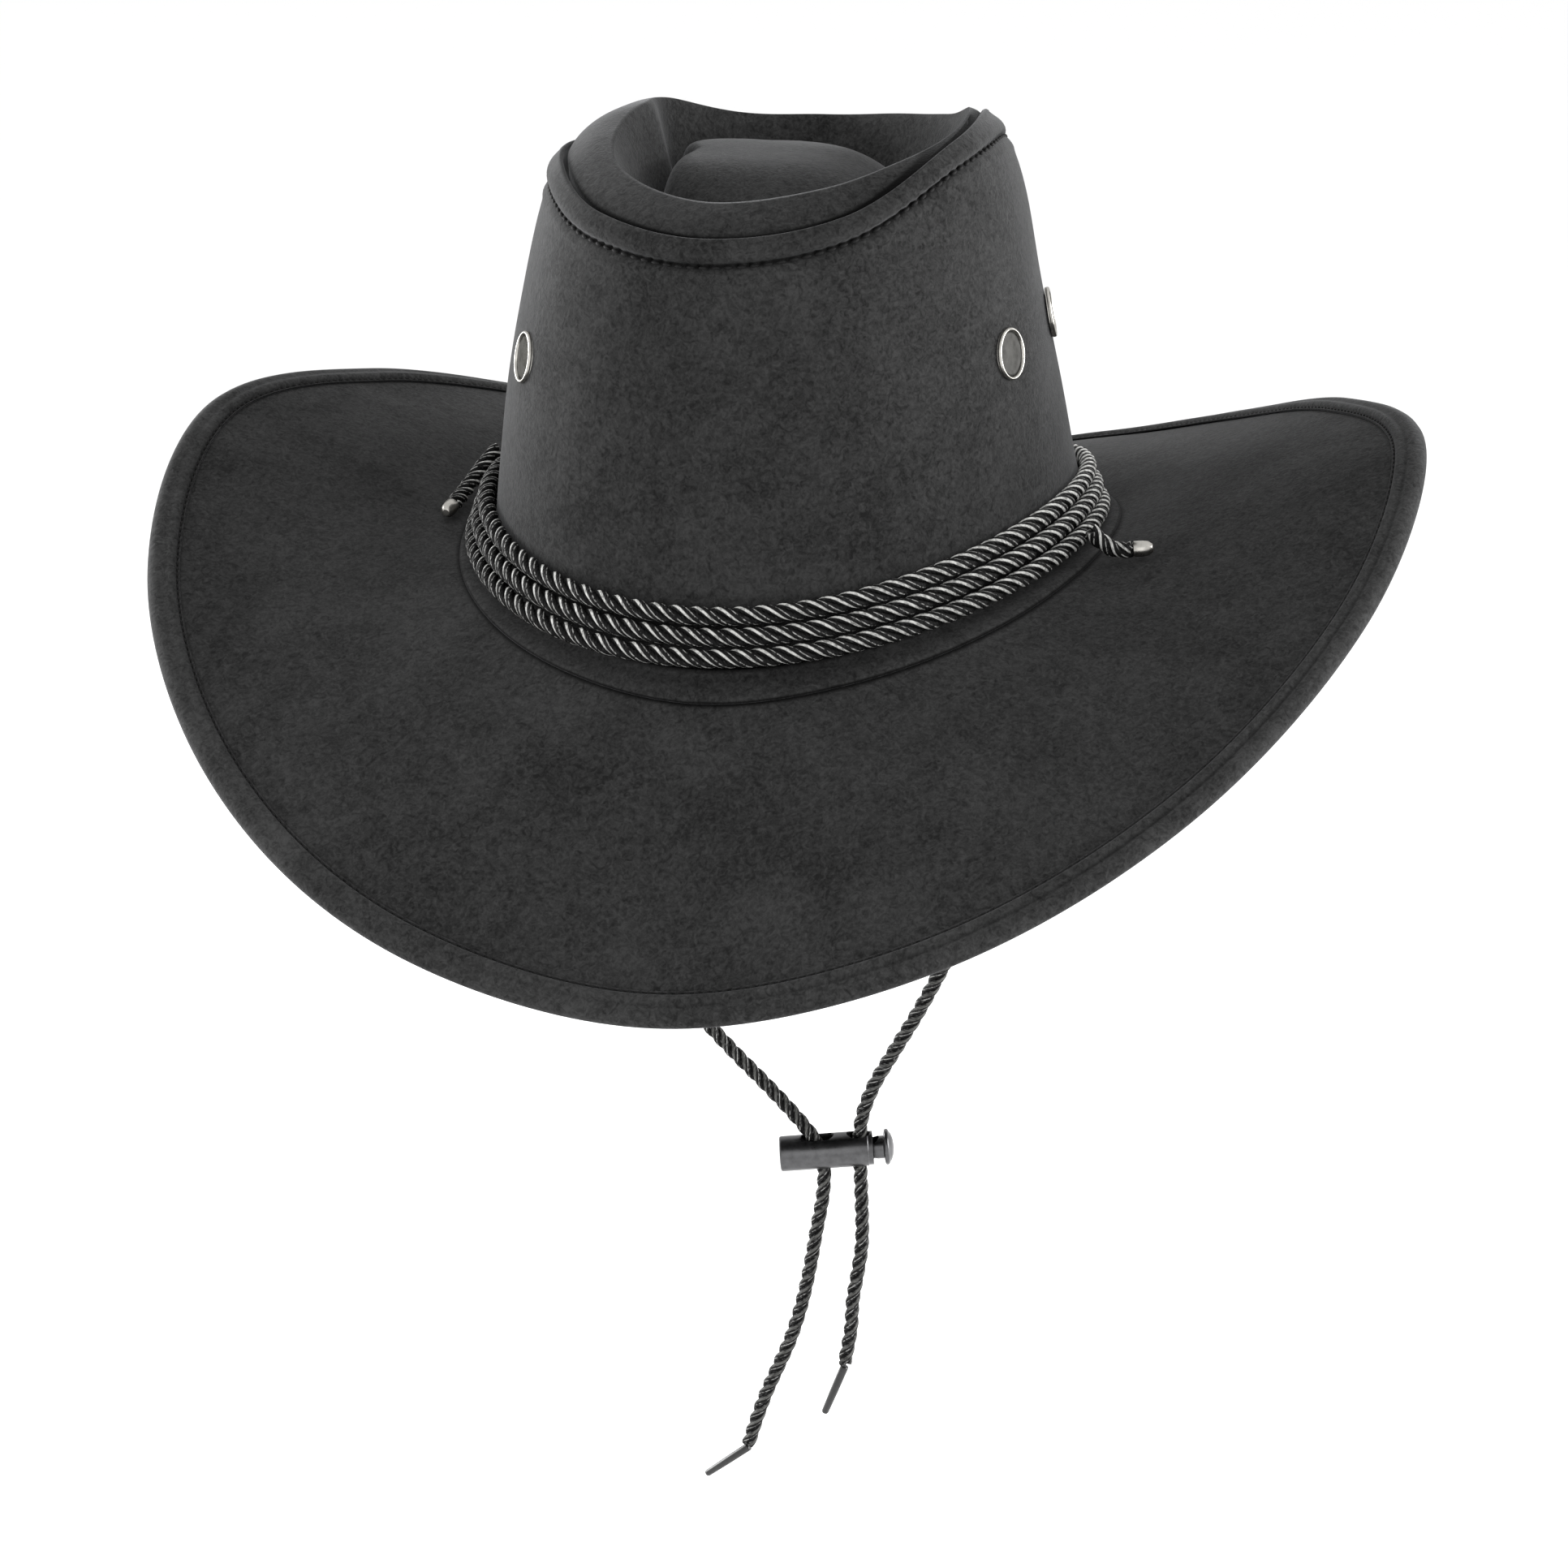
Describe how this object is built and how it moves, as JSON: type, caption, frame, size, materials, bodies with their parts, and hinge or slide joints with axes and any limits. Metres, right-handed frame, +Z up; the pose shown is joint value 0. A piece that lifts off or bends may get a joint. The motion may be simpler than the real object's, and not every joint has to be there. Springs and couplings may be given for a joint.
{
  "type": "suede cowboy hat with a chin cord",
  "caption": "Wide-brimmed suede hat with a pinched crown, twisted cord band, side rivets and a chin cord with a spring toggle.",
  "frame": {"origin": "centre of the head opening, at the mean height of the crown's foot", "axes": "+Z up through the crown, the front of the hat towards -Y, the wearer's left side towards +X"},
  "size_m": [0.36, 0.3557, 0.4321],
  "materials": {
    "crown_suede": "charcoal faux suede with a fine brushed nap",
    "brim_suede": "dark charcoal faux suede, stitched hem",
    "striped_cord": "twisted black cord with thin pale stripes",
    "black_cord": "two-strand twisted black cord with grey flecks",
    "silver_metal": "polished nickel silver with dark recesses",
    "gunmetal": "glossy black nickel",
    "black_tip": "smooth black heat-shrunk tip"
  },
  "bodies": {
    "hat": {"crown_wall": "crown_suede", "crown_tip": "crown_suede", "brim": "brim_suede", "brim_binding": "brim_suede", "base_ring": "brim_suede", "hat_cord_upper": "striped_cord", "hat_cord_middle": "striped_cord", "hat_cord_lower": "striped_cord", "hat_cord_end_left": "striped_cord", "hat_cord_end_right": "striped_cord", "hat_cord_cap_left": "silver_metal", "hat_cord_cap_right": "silver_metal", "rivet_front_left": "silver_metal", "rivet_back_left": "silver_metal", "rivet_front_right": "silver_metal", "rivet_back_right": "silver_metal", "chin_cord_back": "black_cord", "chin_cord_left": "black_cord", "chin_cord_right": "black_cord", "aglet_left": "black_tip", "aglet_right": "black_tip", "toggle_barrel": "gunmetal"},
    "plunger": {"toggle_plunger": "gunmetal"}
  },
  "joints": [
    {"name": "plunger_press", "type": "slide", "parent": "hat", "child": "plunger", "axis": [-0.969, -0.2416, -0.0523], "range_m": [0, 0.003], "stiffness_N_per_m": 900, "springref_m": -0.002}
  ]
}
